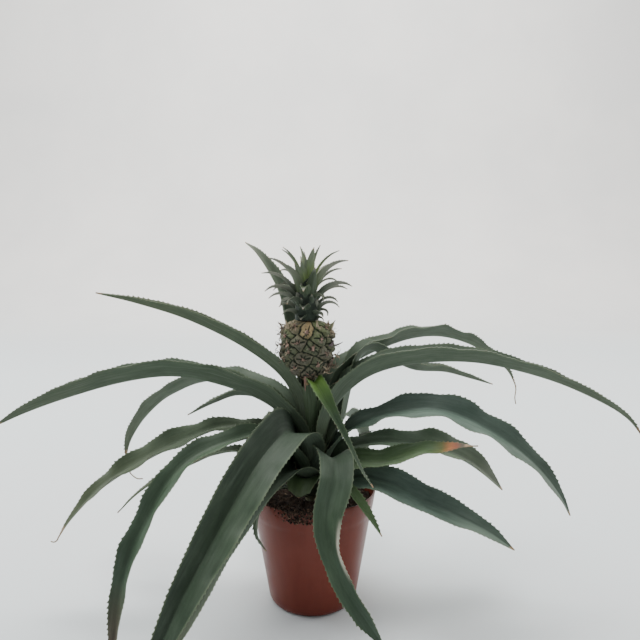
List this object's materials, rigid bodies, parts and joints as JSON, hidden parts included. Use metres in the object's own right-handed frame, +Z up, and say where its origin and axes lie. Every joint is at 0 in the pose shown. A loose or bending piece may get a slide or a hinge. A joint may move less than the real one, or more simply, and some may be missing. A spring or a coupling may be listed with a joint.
{
  "type": "potted pineapple plant",
  "caption": "Dwarf fruiting pineapple plant with long arching toothed leaves, a small fruit with its crown, in a plain tapered nursery pot of peat.",
  "frame": {"origin": "centre of the pot's flat underside, on the surface that the pot stands on", "axes": "+Z up, -Y towards the viewer of the picture, +X to that viewer's right"},
  "size_m": [0.5823, 0.4436, 0.3415],
  "materials": {
    "pot": "satin moulded plastic",
    "soil": "rough moist peat",
    "stem": "matte plant fibre",
    "fruit": "rough dry bracts over a waxy rind",
    "crown": "satin waxy leaf",
    "leaf": "satin waxy leaf"
  },
  "bodies": {
    "root": {"pot": "pot", "soil": "soil", "stem": "stem", "fruit": "fruit", "crown": "crown", "leaf_right_long": "leaf", "leaf_right_back": "leaf", "leaf_right_behind": "leaf", "leaf_right_big": "leaf", "leaf_right_low_back": "leaf", "leaf_orange_tip": "leaf", "leaf_right_low": "leaf", "leaf_left_upper": "leaf", "leaf_left_long": "leaf", "leaf_left_back": "leaf", "leaf_left_back_tip": "leaf", "leaf_left_olive": "leaf", "leaf_left_droop": "leaf", "leaf_left_thin": "leaf", "leaf_front_big": "leaf", "leaf_front_under": "leaf", "leaf_pot_side": "leaf", "leaf_low_stub": "leaf", "leaf_front_middle": "leaf", "leaf_arrow": "leaf", "leaf_small_right": "leaf", "leaf_tall_back": "leaf", "leaf_inner_right": "leaf", "leaf_inner_front": "leaf", "leaf_back_middle": "leaf", "leaf_back_right": "leaf", "leaf_back_left": "leaf"}
  },
  "joints": []
}
